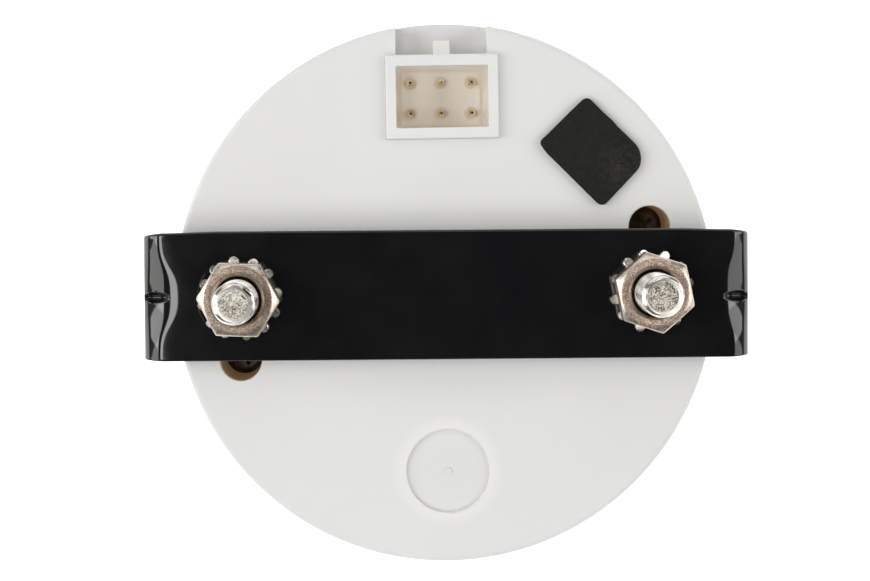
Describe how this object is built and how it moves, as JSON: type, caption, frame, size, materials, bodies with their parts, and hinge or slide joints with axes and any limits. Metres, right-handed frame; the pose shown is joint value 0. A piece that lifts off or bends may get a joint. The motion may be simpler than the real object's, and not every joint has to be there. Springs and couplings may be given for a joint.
{
  "type": "panel gauge head",
  "caption": "Round battery monitor gauge head for a panel cut-out, held by a U-shaped clamp bracket on two threaded studs, with a rear pin header.",
  "frame": {"origin": "middle of the bezel's front face, which the gauge stands on", "axes": "+Z along the gauge's axis towards the rear studs, +X along the clamp bracket, +Y towards the rear header"},
  "size_m": [0.0582, 0.0548, 0.0508],
  "materials": {
    "white_moulding": "satin",
    "bezel_moulding": "satin",
    "header_nylon": "satin",
    "gold_plate": "polished",
    "black_paint": "gloss",
    "nickel_nut": "satin",
    "nickel_stud": "satin",
    "nickel_washer": "satin",
    "dark_screw": "satin",
    "patch_rubber": "matte",
    "gasket_rubber": "matte",
    "lens_clear": "gloss",
    "mask_print": "matte",
    "adhesive": "matte",
    "display_glass": "gloss",
    "diffuser": "matte",
    "guide_acrylic": "gloss",
    "led_body": "gloss",
    "strip_rubber": "matte",
    "board_laminate": "gloss",
    "board_metal": "satin",
    "chip_black": "matte",
    "can_metal": "satin",
    "key_plastic": "satin",
    "switch_plastic": "satin"
  },
  "bodies": {
    "case": {"rear_case": "white_moulding", "front_bezel": "bezel_moulding", "header_body": "header_nylon", "header_pins": "gold_plate", "stud_left": "nickel_stud", "stud_right": "nickel_stud", "case_screws": "dark_screw", "rubber_patch": "patch_rubber", "panel_gasket": "gasket_rubber", "lens": "lens_clear", "dial_mask": "mask_print", "lens_adhesive": "adhesive", "lcd_front_glass": "display_glass", "lcd_rear_glass": "display_glass", "diffuser_sheet": "diffuser", "light_guide": "guide_acrylic", "backlight_leds": "led_body", "contact_strip": "strip_rubber", "display_board": "board_laminate", "main_board": "board_laminate", "board_spacers": "board_metal", "link_header": "chip_black", "link_socket": "chip_black", "microcontroller": "chip_black", "voltage_regulator": "chip_black", "filter_capacitors": "can_metal", "filter_inductor": "chip_black", "quartz_crystal": "can_metal", "alarm_buzzer": "chip_black", "key_switch_left": "switch_plastic", "key_switch_right": "switch_plastic"},
    "bracket": {"clamp_bracket": "black_paint", "lock_washer_left": "nickel_washer", "lock_washer_right": "nickel_washer"},
    "nut_left": {"nut_left": "nickel_nut"},
    "nut_right": {"nut_right": "nickel_nut"},
    "key_left": {"key_left": "key_plastic", "switch_plunger_left": "switch_plastic"},
    "key_right": {"key_right": "key_plastic", "switch_plunger_right": "switch_plastic"}
  },
  "joints": [
    {"name": "bracket_slide", "type": "slide", "parent": "case", "child": "bracket", "axis": [0, 0, 1], "range_m": [0, 0.0063]},
    {"name": "nut_left_turn", "type": "hinge", "parent": "bracket", "child": "nut_left", "pos_m": [-0.0196, 0, 0.0415], "axis": [0, 0, 1], "range_deg": [0, 3241]},
    {"name": "nut_right_turn", "type": "hinge", "parent": "bracket", "child": "nut_right", "pos_m": [0.0196, 0, 0.0415], "axis": [0, 0, 1], "range_deg": [0, 3241]},
    {"name": "key_left_press", "type": "slide", "parent": "case", "child": "key_left", "axis": [0, 0, 1], "range_m": [0, 0.0005], "stiffness_N_per_m": 1500, "springref_m": -0.0005},
    {"name": "key_right_press", "type": "slide", "parent": "case", "child": "key_right", "axis": [0, 0, 1], "range_m": [0, 0.0005], "stiffness_N_per_m": 1500, "springref_m": -0.0005}
  ],
  "couplings": [
    {"joint": "nut_left_turn", "follows": "bracket_slide", "rad_per_m": 8976},
    {"joint": "nut_right_turn", "follows": "bracket_slide", "rad_per_m": 8976}
  ]
}
